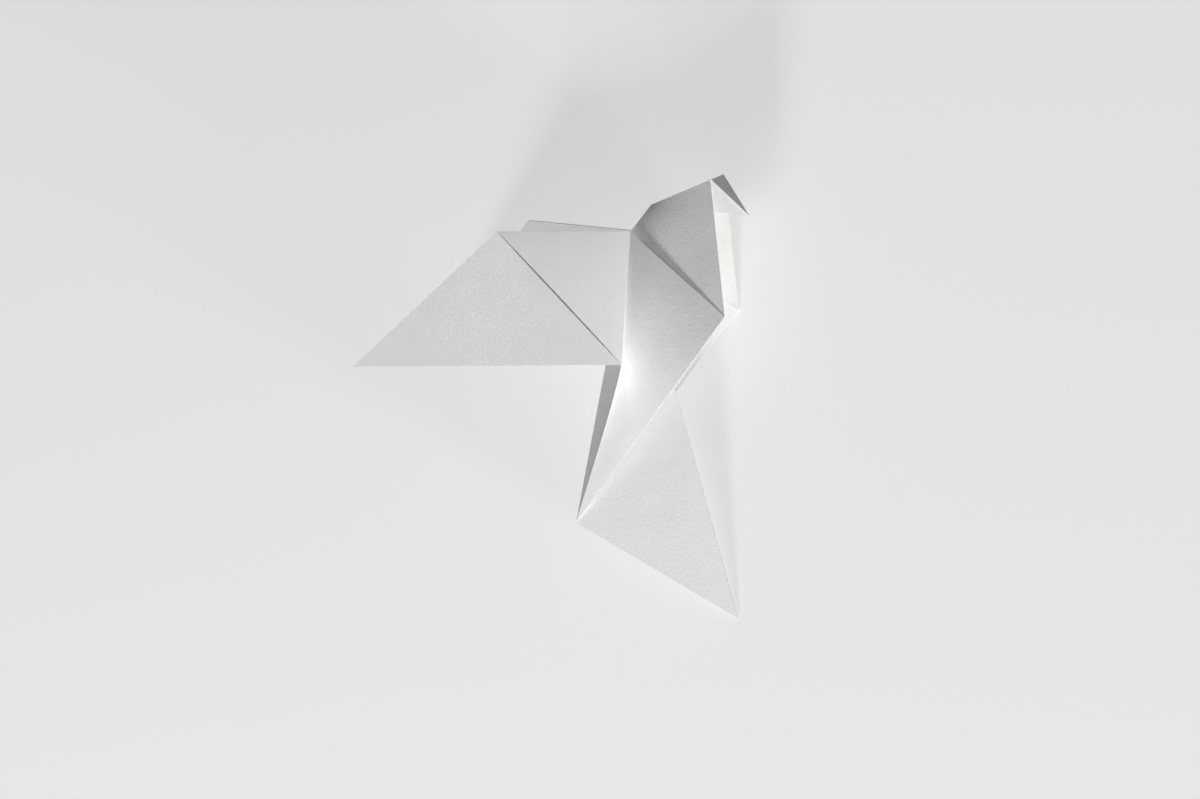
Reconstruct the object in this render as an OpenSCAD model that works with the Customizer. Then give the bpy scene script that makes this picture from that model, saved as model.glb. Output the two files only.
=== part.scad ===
// Paper bird folded from one square sheet: a pleat in thirds, a fold along the spine,
// two wings turned out, and a beak reversed between the two sides of the head.
// Fold points are worked out in the bird's own frame, with X forward, Y up and Z to its near
// side, then turned so that the bird lies on its far side as it comes to rest on a table.

/* [Sheet] */
// Side of the square sheet before folding
sheet_side = 150; // [120:1:200]
// Thickness of one layer of paper
paper = 0.3; // [0.2:0.05:0.5]

/* [Tail] */
// Forward lean of the tail's spine from straight down, in degrees
tail_lean = 16; // [8:1:24]
// Opening between the two sides of the tail at its root
tail_gap = 3.2; // [2:0.2:6]

/* [Breast] */
// Opening between the two breast edges
breast_gap = 17; // [12:0.5:22]

/* [Head] */
// Length of the neck's spine, up to the fold that reverses the beak
neck = 9; // [6:0.5:12]
// Length of the head's front edge, from the breast to the crown
face = 36; // [32:0.5:40]
// Opening between the two sides of the crown
crown_gap = 16; // [10:0.5:20]

/* [Wings] */
// Lift of the shoulder above the spine
shoulder_lift = 1.4; // [1:0.1:2.5]
// Angle of the wing's root fold out from the body, in degrees
root_lift = 15; // [10:1:20]
// Angle of the wing out from the body, in degrees
wing_spread = 25; // [15:1:40]
// Rise of the wing's edges above level, in degrees
wing_rise = 1; // [0:1:8]
// Lift of the loose cut edge that crosses the wing
edge_lift = 1.1; // [0.8:0.1:2]
// Depth of the hollow in the curved panel between breast and wing
panel_hollow = 2.2; // [0.5:0.1:2.6]

/* [Hidden] */

// Steps along and across the curved body panels
panel_rows = 5;
panel_columns = 7;
// Skew of the hollow towards the wing's root fold
hollow_skew = 0.6;
// Rows that run out from the wing's root fold, before the rest fan from its lower end
root_rows = 3;
// Layers of paper in the wings and body panels
wing_layers = 2;
// Layers of paper in the other plates, near side first. Plates that meet at a sharp fold
// differ a little, so that the thinner one ends inside the thicker.
tail_layers = [1.4, 1.2];
head_layers = [1, 0.8];
beak_layers = [1.3, 1.1];
// Reach of a plate past a fold, so that the plates on both sides of it grow into each other
fold_reach = 0.12;
// Share of its length by which the curved body panel passes its folds
panel_reach = 0.004;
// Share of the cut edge by which the loose corner is set in from the wing's own edges
corner_inset = 0.012;

// A third of the half diagonal is the pleat's step and sets every fold length
third = sheet_side * sqrt(2) / 6;
tail_length = 3 * third;
back_length = norm([2, 1]) * third;
wing_length = 2 * third;

function flat(length, out) = sqrt(length * length - out * out);
function blend(a, b, t) = a * (1 - t) + b * t;
function far_side(p) = [p.x, p.y, -p.z];
function ray(angle, length, out) = [length * cos(angle), length * sin(angle), out];
// Mirror image of a point in the line from a to b, in the plane of the bird
function reflect(p, a, b) =
    let (along = (b - a) / norm(b - a), from = p - a)
    a + 2 * (from * along) * along - from;

// Spine, tail and breast
back = [0, 0, 0];
spine_angle = tail_lean - 90;
tail_tip = ray(spine_angle, tail_length, 0);
root_angle = spine_angle - atan(1 / 2);
root_flat = flat(back_length, tail_gap / 2);
tail_root = ray(root_angle, root_flat, tail_gap / 2);
breast_flat = flat(third, breast_gap / 2);
breast_turn = acos((third * third - breast_gap * tail_gap / 4) / (breast_flat * root_flat));
breast_angle = root_angle + breast_turn;
breast = ray(breast_angle, breast_flat, breast_gap / 2);

// Head, with the sheet's corner reversed across the crown fold to point forward as the beak
head_angle = breast_angle + 90;
nape = ray(head_angle, neck, 0);
corner = ray(head_angle, third, 0);
breast_foot = [breast.x, breast.y, 0];
crown_foot = breast_foot + face * (corner - breast_foot) / norm(corner - breast_foot);
crown = crown_foot + [0, 0, crown_gap / 2];
beak_tip = reflect(corner, nape, crown_foot);

// Wing
shoulder = back + [0, 0, shoulder_lift];
wing_root = shoulder + third * [0, -cos(root_lift), sin(root_lift)];
wing_run = [-cos(wing_spread) * cos(wing_rise), sin(wing_rise), sin(wing_spread) * cos(wing_rise)];
wing_corner = shoulder + third * wing_run;
wing_tip = wing_root + wing_length * wing_run;
wing_out = cross(wing_root - shoulder, wing_run);
wing_normal = wing_out * sign(wing_out.z) / norm(wing_out);

// Rest pose: the far wing's tip, the far breast and the tail's tip touch the table
rest_points = [far_side(wing_tip), far_side(breast), tail_tip];
rest_cross = cross(rest_points[1] - rest_points[0], rest_points[2] - rest_points[0]);
rest_up = rest_cross * sign(rest_cross.z) / norm(rest_cross);
forward = [1, 0, 0] - rest_up.x * rest_up;
rest_forward = forward / norm(forward);
rest_left = cross(rest_up, rest_forward);
function turned(p) = [p * rest_forward, p * rest_left, p * rest_up];

near_points = [tail_root, breast, crown, wing_root, wing_corner, wing_tip];
spine_points = [back, tail_tip, nape, beak_tip];
turned_points = [
    for (p = spine_points) turned(p),
    for (p = near_points) turned(p),
    for (p = near_points) turned(far_side(p))
];
function lowest(axis) = min([for (p = turned_points) p[axis]]);
function highest(axis) = max([for (p = turned_points) p[axis]]);
origin = [
    (lowest(0) + highest(0)) / 2,
    (lowest(1) + highest(1)) / 2,
    lowest(2) - wing_layers * paper / 2 * rest_up.z
];
function placed(p) = turned(p) - origin;

// Turns a list of points to the near side, or to the far side
function on_side(points, near) = [for (p = points) near ? p : far_side(p)];

// Paper over a surface of triangles, thickened square to the plane of the bird. The rim lists
// the points round its edge anticlockwise.
module plate(points, triangles, rim, layers) {
    edge = [0, 0, layers * paper / 2];
    n = len(points);
    polyhedron(
        points = [
            for (p = points) placed(p - edge),
            for (p = points) placed(p + edge)
        ],
        faces = [
            for (t = triangles) t,
            for (t = triangles) [t[2] + n, t[1] + n, t[0] + n],
            for (i = [0 : len(rim) - 1])
                let (a = rim[i], b = rim[(i + 1) % len(rim)])
                [a, a + n, b + n, b]
        ]
    );
}

// Outward direction of an edge, in the plane of the bird
function outward(a, b) = [b.y - a.y, a.x - b.x, 0] / norm([b.x - a.x, b.y - a.y]);
// Corner of a plate, moved out by the reach of the edges before and after it
function reached(rim, reach, i) =
    let (
        n = len(rim),
        before = outward(rim[(i + n - 1) % n], rim[i]),
        after = outward(rim[i], rim[(i + 1) % n]),
        first = reach[(i + n - 1) % n],
        mix = before * after,
        out = (first - reach[i] * mix) * before + (reach[i] - first * mix) * after
    )
    rim[i] + out / (1 - mix * mix);

// A few flat facets inside one rim
module facets(rim, reach, triangles, layers, near) {
    count = [for (i = [0 : len(rim) - 1]) i];
    plate(on_side([for (i = count) reached(rim, reach, i)], near), triangles, count, layers);
}

// Half the tail. The near half laps the far half along the spine.
module tail_half(near) {
    spine_reach = near ? fold_reach : 0;
    facets(
        [back, tail_root, tail_tip], [fold_reach, spine_reach, spine_reach],
        [[0, 1, 2]], tail_layers[near ? 0 : 1], near
    );
}

// The inner layer that turns forward from the tail to the breast, and one side of the head,
// gently bent from nape to breast
module head_half(near) {
    facets(
        [back, tail_root, breast, crown, nape], [0, 0, 0, 0, near ? fold_reach : 0],
        [[0, 1, 2], [0, 2, 4], [4, 2, 3]], head_layers[near ? 0 : 1], near
    );
}

// Half the beak, reversed between the two sides of the head
module beak_half(near) {
    spine_reach = near ? fold_reach : 0;
    facets(
        [nape, beak_tip, crown], [spine_reach, spine_reach, fold_reach],
        [[0, 1, 2]], beak_layers[near ? 0 : 1], near
    );
}

// Steps along and across the body panel. Its first row and last column pass their folds.
function along(row) = row == 0 ? -panel_reach : row / panel_rows;
function across(column) = column == panel_columns ? 1 + panel_reach : column / panel_columns;
function root_step(row) = min(1, along(row) * panel_rows / root_rows);
// Depth of the hollow, towards the body
function hollow(row, column) =
    panel_hollow * sin(180 * pow(across(column), hollow_skew)) * sin(90 * along(row));
function panel_point(row, column) =
    blend(
        blend(shoulder, wing_root, root_step(row)),
        blend(breast, tail_root, along(row)),
        across(column)
    ) - [0, 0, hollow(row, column)];
function wing_edge(row) = blend(wing_corner, wing_tip, root_step(row));

// The panel that curves from the breast fold out to the wing's root fold, and the wing beyond
// it. Column 0 is the wing's outer edge and column 1 its root fold.
width = panel_columns + 2;
function at(row, column) = (column < 2 ? min(row, root_rows) : row) * width + column;
module panel_and_wing(near) {
    points = [
        for (row = [0 : panel_rows])
            for (column = [0 : width - 1])
                column == 0 ? wing_edge(row) : panel_point(row, column - 1)
    ];
    triangles = [
        for (row = [0 : panel_rows - 1])
            for (column = [0 : width - 2])
                let (
                    a = at(row, column),
                    b = at(row + 1, column),
                    c = at(row + 1, column + 1),
                    d = at(row, column + 1)
                )
                each [if (a != b) [a, b, d], if (c != d) [b, c, d]]
    ];
    rim = [
        for (row = [0 : root_rows]) at(row, 0),
        at(root_rows, 1),
        for (column = [2 : width - 1]) at(panel_rows, column),
        for (row = [panel_rows - 1 : -1 : 0]) at(row, width - 1),
        for (column = [width - 2 : -1 : 1]) at(0, column)
    ];
    plate(on_side(points, near), triangles, rim, wing_layers);
}

// The loose corner of the sheet, which lies over the inner half of the wing. It is set in a
// little from the wing's own edges.
module loose_corner(near) {
    lap = [0, 0, wing_layers * paper / 2];
    root = blend(shoulder, blend(wing_corner, wing_root, 0.5), 1.25 * corner_inset);
    top = blend(wing_corner, wing_root, corner_inset);
    low = blend(wing_corner, wing_root, 1 - corner_inset);
    loose_edge = blend(wing_corner, wing_root, 0.5) + wing_normal * edge_lift;
    points = on_side([for (p = [root, top, loose_edge, low]) p + lap], near);
    plate(points, [[0, 1, 2], [0, 2, 3]], [0, 1, 2, 3], 1);
}

module bird() {
    color("whitesmoke")
        for (near = [true, false]) {
            tail_half(near);
            head_half(near);
            beak_half(near);
            panel_and_wing(near);
            loose_corner(near);
        }
}

bird();
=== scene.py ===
import bmesh
import bpy
from math import acos, atan, cos, pi, radians, sin, sqrt
from mathutils import Matrix, Vector


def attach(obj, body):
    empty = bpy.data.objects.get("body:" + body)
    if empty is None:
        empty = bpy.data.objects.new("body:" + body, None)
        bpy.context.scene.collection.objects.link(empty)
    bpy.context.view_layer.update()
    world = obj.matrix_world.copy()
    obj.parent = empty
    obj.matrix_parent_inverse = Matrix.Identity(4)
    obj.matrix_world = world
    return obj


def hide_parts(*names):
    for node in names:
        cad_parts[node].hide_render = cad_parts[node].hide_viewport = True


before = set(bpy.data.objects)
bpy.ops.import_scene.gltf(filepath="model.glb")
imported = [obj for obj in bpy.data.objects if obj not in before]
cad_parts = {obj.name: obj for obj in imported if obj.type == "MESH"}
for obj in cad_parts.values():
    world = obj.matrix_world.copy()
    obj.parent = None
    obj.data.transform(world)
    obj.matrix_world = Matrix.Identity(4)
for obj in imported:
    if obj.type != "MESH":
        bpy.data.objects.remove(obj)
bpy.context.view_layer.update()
scene = bpy.context.scene
scene.view_settings.view_transform = "Standard"

# The square sheet
# One square of heavy white paper, folded by hand with no cut and no glue.
# A pleat in thirds of its half diagonal sets every fold length below.
MM = 0.001
SHEET_SIDE = 150 * MM
PAPER = 0.3 * MM
THIRD = SHEET_SIDE * sqrt(2) / 6
TAIL_LENGTH = 3 * THIRD
BACK_LENGTH = sqrt(5) * THIRD
WING_LENGTH = 2 * THIRD


def ray(angle, length, out):
    return Vector((length * cos(angle), length * sin(angle), out))


def flat_reach(length, out):
    return sqrt(length * length - out * out)


# The tail and breast folds
# The tail is a corner of the sheet folded in half along the spine. Its back fold turns the
# paper forward to the breast, where it folds again into the body panel.
TAIL_LEAN = radians(16)
TAIL_GAP = 3.2 * MM
BREAST_GAP = 17 * MM
spine_angle = TAIL_LEAN - pi / 2
back = Vector((0, 0, 0))
tail_tip = ray(spine_angle, TAIL_LENGTH, 0)
root_angle = spine_angle - atan(1 / 2)
root_flat = flat_reach(BACK_LENGTH, TAIL_GAP / 2)
tail_root = ray(root_angle, root_flat, TAIL_GAP / 2)
breast_flat = flat_reach(THIRD, BREAST_GAP / 2)
breast_turn = acos((THIRD * THIRD - BREAST_GAP * TAIL_GAP / 4) / (breast_flat * root_flat))
breast_angle = root_angle + breast_turn
breast = ray(breast_angle, breast_flat, BREAST_GAP / 2)

# The head and beak folds
# The opposite corner of the sheet is folded in half as the head, and its point is reversed
# between the two sides across the crown fold to make the beak.
NECK = 9 * MM
FACE = 36 * MM
CROWN_GAP = 16 * MM
head_angle = breast_angle + pi / 2
nape = ray(head_angle, NECK, 0)
corner = ray(head_angle, THIRD, 0)
breast_foot = Vector((breast.x, breast.y, 0))
crown_foot = breast_foot + FACE * (corner - breast_foot).normalized()
crown = crown_foot + Vector((0, 0, CROWN_GAP / 2))
crown_line = (crown_foot - nape).normalized()
beak_tip = nape + 2 * (corner - nape).dot(crown_line) * crown_line - (corner - nape)

# The wing folds
# Each wing turns out from the body along a root fold. It is doubled paper, and the sheet's
# loose corner lies over its inner half with its cut edge a little lifted.
SHOULDER_LIFT = 1.4 * MM
ROOT_LIFT = radians(15)
WING_SPREAD = radians(25)
WING_RISE = radians(1)
EDGE_LIFT = 1.1 * MM
EDGE_CURVE = 0.7
PANEL_HOLLOW = 2.2 * MM
HOLLOW_SKEW = 0.6
ROOT_SHARE = 0.65
shoulder = back + Vector((0, 0, SHOULDER_LIFT))
wing_root = shoulder + THIRD * Vector((0, -cos(ROOT_LIFT), sin(ROOT_LIFT)))
wing_level = cos(WING_RISE)
wing_run = Vector((-cos(WING_SPREAD) * wing_level, sin(WING_RISE), sin(WING_SPREAD) * wing_level))
wing_corner = shoulder + THIRD * wing_run
wing_tip = wing_root + WING_LENGTH * wing_run
wing_normal = (wing_root - shoulder).cross(wing_run).normalized()
if wing_normal.z < 0:
    wing_normal.negate()


# The rest pose
# The bird lies on its far side, on the tips of the far wing and the tail and on the far
# breast edge, as it settles on a table.
def far_side(point):
    return Vector((point.x, point.y, -point.z))


rest_a, rest_b, rest_c = far_side(wing_tip), far_side(breast), tail_tip
rest_up = (rest_b - rest_a).cross(rest_c - rest_a).normalized()
if rest_up.z < 0:
    rest_up.negate()
rest_forward = (Vector((1, 0, 0)) - rest_up.x * rest_up).normalized()
rest_left = rest_up.cross(rest_forward)
rest_turn = Matrix((rest_forward, rest_left, rest_up))
near_points = [tail_root, breast, crown, wing_root, wing_corner, wing_tip]
spine_points = [back, tail_tip, nape, beak_tip]
turned_points = [rest_turn @ p for p in spine_points + near_points]
turned_points += [rest_turn @ far_side(p) for p in near_points]
lowest = [min(p[axis] for p in turned_points) for axis in range(3)]
highest = [max(p[axis] for p in turned_points) for axis in range(3)]
middle = [(low + high) / 2 for low, high in zip(lowest, highest)]
rest_origin = Vector((middle[0], middle[1], lowest[2] - PAPER))


def placed(point):
    return rest_turn @ point - rest_origin


# The camera
# It stands in front of the near side, a little ahead of the bird and above it, and far
# enough away that the folds keep their angles.
VIEW_TURN = radians(13.8)
VIEW_RISE = radians(7.3)
PHOTO_SIZE = (1200, 799)
BACK_PIXEL = (631, 231)
PIXELS_PER_THIRD = 134.6
CAMERA_DISTANCE = 1.3
SENSOR = 36
pixel = THIRD / PIXELS_PER_THIRD
view_right = rest_turn @ Vector((cos(VIEW_TURN), 0, -sin(VIEW_TURN)))
view_level = cos(VIEW_RISE)
view_back = rest_turn @ Vector((sin(VIEW_TURN) * view_level, sin(VIEW_RISE), cos(VIEW_TURN) * view_level))
view_up = view_back.cross(view_right)
view_centre = placed(back)
view_centre += view_right * (PHOTO_SIZE[0] / 2 - BACK_PIXEL[0]) * pixel
view_centre += view_up * (BACK_PIXEL[1] - PHOTO_SIZE[1] / 2) * pixel
camera_data = bpy.data.cameras.new("camera")
camera_data.sensor_width = SENSOR
camera_data.lens = SENSOR * CAMERA_DISTANCE / (PHOTO_SIZE[0] * pixel)
camera = bpy.data.objects.new("camera", camera_data)
view_axes = Matrix((view_right, view_up, view_back)).transposed()
camera_place = Matrix.Translation(view_centre + view_back * CAMERA_DISTANCE)
camera.matrix_world = camera_place @ view_axes.to_4x4()
scene.collection.objects.link(camera)
scene.camera = camera

# The paper
# Heavy uncoated white paper with a fine tooth. It is matte, a little warm, faintly
# mottled by its fibres, and never quite flat after folding.
PAPER_WHITE = (0.80, 0.795, 0.785, 1)
PAPER_SHADE = (0.76, 0.755, 0.742, 1)
PAPER_ROUGHNESS = 0.92
PAPER_SPECULAR = 0.25
TOOTH_SCALE = 1500
TOOTH_DEPTH = 0.1 * MM
FIBRE_SCALE = 260
FIBRE_DEPTH = 0.12 * MM
WAVE_SCALE = 38
WAVE_DEPTH = 1.2 * MM
paper = bpy.data.materials.new("white_paper")
paper.use_nodes = True
nodes = paper.node_tree.nodes
links = paper.node_tree.links
shader = nodes["Principled BSDF"]
shader.inputs["Roughness"].default_value = PAPER_ROUGHNESS
shader.inputs["Specular IOR Level"].default_value = PAPER_SPECULAR
place = nodes.new("ShaderNodeTexCoord")


def paper_noise(scale, detail):
    noise = nodes.new("ShaderNodeTexNoise")
    noise.inputs["Scale"].default_value = scale
    noise.inputs["Detail"].default_value = detail
    links.new(place.outputs["Object"], noise.inputs["Vector"])
    return noise.outputs["Fac"]


def paper_bump(height, distance, strength, below=None):
    bump = nodes.new("ShaderNodeBump")
    bump.inputs["Distance"].default_value = distance
    bump.inputs["Strength"].default_value = strength
    links.new(height, bump.inputs["Height"])
    if below:
        links.new(below, bump.inputs["Normal"])
    return bump.outputs["Normal"]


tooth = paper_noise(TOOTH_SCALE, detail=4)
fibres = paper_noise(FIBRE_SCALE, detail=5)
waves = paper_noise(WAVE_SCALE, detail=1)
mottle = nodes.new("ShaderNodeMix")
mottle.data_type = "RGBA"
mottle.inputs["A"].default_value = PAPER_WHITE
mottle.inputs["B"].default_value = PAPER_SHADE
links.new(fibres, mottle.inputs["Factor"])
links.new(mottle.outputs["Result"], shader.inputs["Base Color"])
soft_wave = paper_bump(waves, WAVE_DEPTH, strength=0.5)
fibre_relief = paper_bump(fibres, FIBRE_DEPTH, strength=0.5, below=soft_wave)
tooth_relief = paper_bump(tooth, TOOTH_DEPTH, strength=0.7, below=fibre_relief)
links.new(tooth_relief, shader.inputs["Normal"])

# The folded bird
# The sheet's panels between its folds, each a thin plate of paper with cut or folded edges.
# The body panels curve between the breast fold and the wing's root fold.
CURVE_CUTS = 31
EDGE_CUTS = 15
HEAD_CUTS = 11
WELD = 0.001 * MM
bird_mesh = bpy.data.meshes.new("paper_bird")
bird = bpy.data.objects.new("paper_bird", bird_mesh)
scene.collection.objects.link(bird)
bird_bm = bmesh.new()


def fold_panel(corners, marks, near, layers, cuts=0, shape=None):
    panel = bmesh.new()
    verts = [panel.verts.new(p) for p in corners]
    face = panel.faces.new(verts)
    uv = panel.loops.layers.uv.new("fold")
    for loop, mark in zip(face.loops, marks):
        loop[uv].uv = mark
    if cuts:
        bmesh.ops.subdivide_edges(panel, edges=panel.edges[:], cuts=cuts, use_grid_fill=True)
    if shape:
        for vert in panel.verts:
            vert.co = shape(*vert.link_loops[0][uv].uv)
        bmesh.ops.remove_doubles(panel, verts=panel.verts[:], dist=WELD)
    half = Vector((0, 0, layers * PAPER / 2))
    for vert in panel.verts:
        vert.co -= half
    grown = bmesh.ops.extrude_face_region(panel, geom=panel.faces[:], use_keep_orig=True)
    for item in grown["geom"]:
        if isinstance(item, bmesh.types.BMVert):
            item.co += 2 * half
    for vert in panel.verts:
        vert.co = placed(vert.co if near else far_side(vert.co))
    bmesh.ops.recalc_face_normals(panel, faces=panel.faces[:])
    part = bpy.data.meshes.new("fold_panel")
    panel.to_mesh(part)
    panel.free()
    bird_bm.from_mesh(part)
    bpy.data.meshes.remove(part)


def body_panel(along, across):
    step = min(1, along / ROOT_SHARE)
    root = shoulder.lerp(wing_root, step * (2 - step))
    fold = breast.lerp(tail_root, along)
    depth = PANEL_HOLLOW * sin(pi * across ** HOLLOW_SKEW) * sin(pi / 2 * along)
    return root.lerp(fold, across) - Vector((0, 0, depth))


def loose_corner(corner_share, root_share):
    point = shoulder + (wing_corner - shoulder) * corner_share + (wing_root - shoulder) * root_share
    rise = EDGE_LIFT * (4 * corner_share * root_share) ** EDGE_CURVE
    return point + wing_normal * (PAPER + rise)


# Layers of paper in each plate, near side first. Plates that share a fold differ a little,
# so that the thinner one ends inside the thicker.
TAIL_LAYERS = (1.4, 1.2)
INNER_LAYERS = (0.9, 0.7)
HEAD_LAYERS = (1, 0.8)
BEAK_LAYERS = (1.3, 1.1)
WING_LAYERS = 2
QUAD_MARKS = ((0, 0), (1, 0), (1, 1), (0, 1))
LOOSE_MARKS = ((0, 0), (1, 0), (0, 1))
for side, near in enumerate((True, False)):
    fold_panel([back, tail_tip, tail_root], LOOSE_MARKS, near, TAIL_LAYERS[side])
    fold_panel([back, tail_root, breast], LOOSE_MARKS, near, INNER_LAYERS[side])
    fold_panel([back, nape, crown, breast], QUAD_MARKS, near, HEAD_LAYERS[side], HEAD_CUTS)
    fold_panel([nape, crown, beak_tip], LOOSE_MARKS, near, BEAK_LAYERS[side])
    body_corners = [shoulder, wing_root, tail_root, breast]
    fold_panel(body_corners, QUAD_MARKS, near, WING_LAYERS, CURVE_CUTS, body_panel)
    fold_panel([shoulder, wing_root, wing_tip, wing_corner], QUAD_MARKS, near, WING_LAYERS)
    fold_panel([shoulder, wing_corner, wing_root], LOOSE_MARKS, near, 1, EDGE_CUTS, loose_corner)

SHARP_FOLD = radians(25)
bird_bm.to_mesh(bird_mesh)
bird_bm.free()
for polygon in bird_mesh.polygons:
    polygon.use_smooth = True
bird_mesh.set_sharp_from_angle(angle=SHARP_FOLD)
bird_mesh.materials.append(paper)
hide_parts("bird")
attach(bird, "root")

# The studio
# A plain pale floor, a soft key light on the beak's side that draws the cut edges, a low
# one beyond the tail, a faint fill and an even sky.
FLOOR_SIZE = 8
FLOOR_COLOUR = (0.45, 0.45, 0.45, 1)
GLOW_COLOUR = (0.80, 0.80, 0.80, 1)
FLOOR_GLOW = 0.68
FLOOR_ROUGHNESS = 0.9
FLOOR_SPECULAR = 0.1
SKY_COLOUR = (0.94, 0.94, 0.94, 1)
SKY_STRENGTH = 0.1
bpy.ops.mesh.primitive_plane_add(size=FLOOR_SIZE)
floor = bpy.context.object
floor.name = "floor"
floor_paint = bpy.data.materials.new("floor_paint")
floor_paint.use_nodes = True
floor_inputs = floor_paint.node_tree.nodes["Principled BSDF"].inputs
floor_inputs["Base Color"].default_value = FLOOR_COLOUR
floor_inputs["Roughness"].default_value = FLOOR_ROUGHNESS
floor_inputs["Specular IOR Level"].default_value = FLOOR_SPECULAR
floor_inputs["Emission Color"].default_value = GLOW_COLOUR
floor_inputs["Emission Strength"].default_value = FLOOR_GLOW
floor.data.materials.append(floor_paint)

world = bpy.data.worlds.new("studio")
world.use_nodes = True
world.node_tree.nodes["Background"].inputs["Color"].default_value = SKY_COLOUR
world.node_tree.nodes["Background"].inputs["Strength"].default_value = SKY_STRENGTH
scene.world = world


def soft_light(name, right, up, toward, power, size):
    aim = placed(back)
    spot = aim + view_right * right + view_up * up + view_back * toward
    lamp = bpy.data.lights.new(name, "AREA")
    lamp.energy = power
    lamp.size = size
    holder = bpy.data.objects.new(name, lamp)
    holder.location = spot
    holder.rotation_euler = (aim - spot).to_track_quat("-Z", "Y").to_euler()
    scene.collection.objects.link(holder)


soft_light("key_light", right=1.02, up=-0.7, toward=0.79, power=20.5, size=0.2)
soft_light("low_light", right=-0.4, up=-1.24, toward=0.21, power=12.5, size=0.3)
soft_light("fill_light", right=-0.7, up=-0.3, toward=0.8, power=0.8, size=0.6)
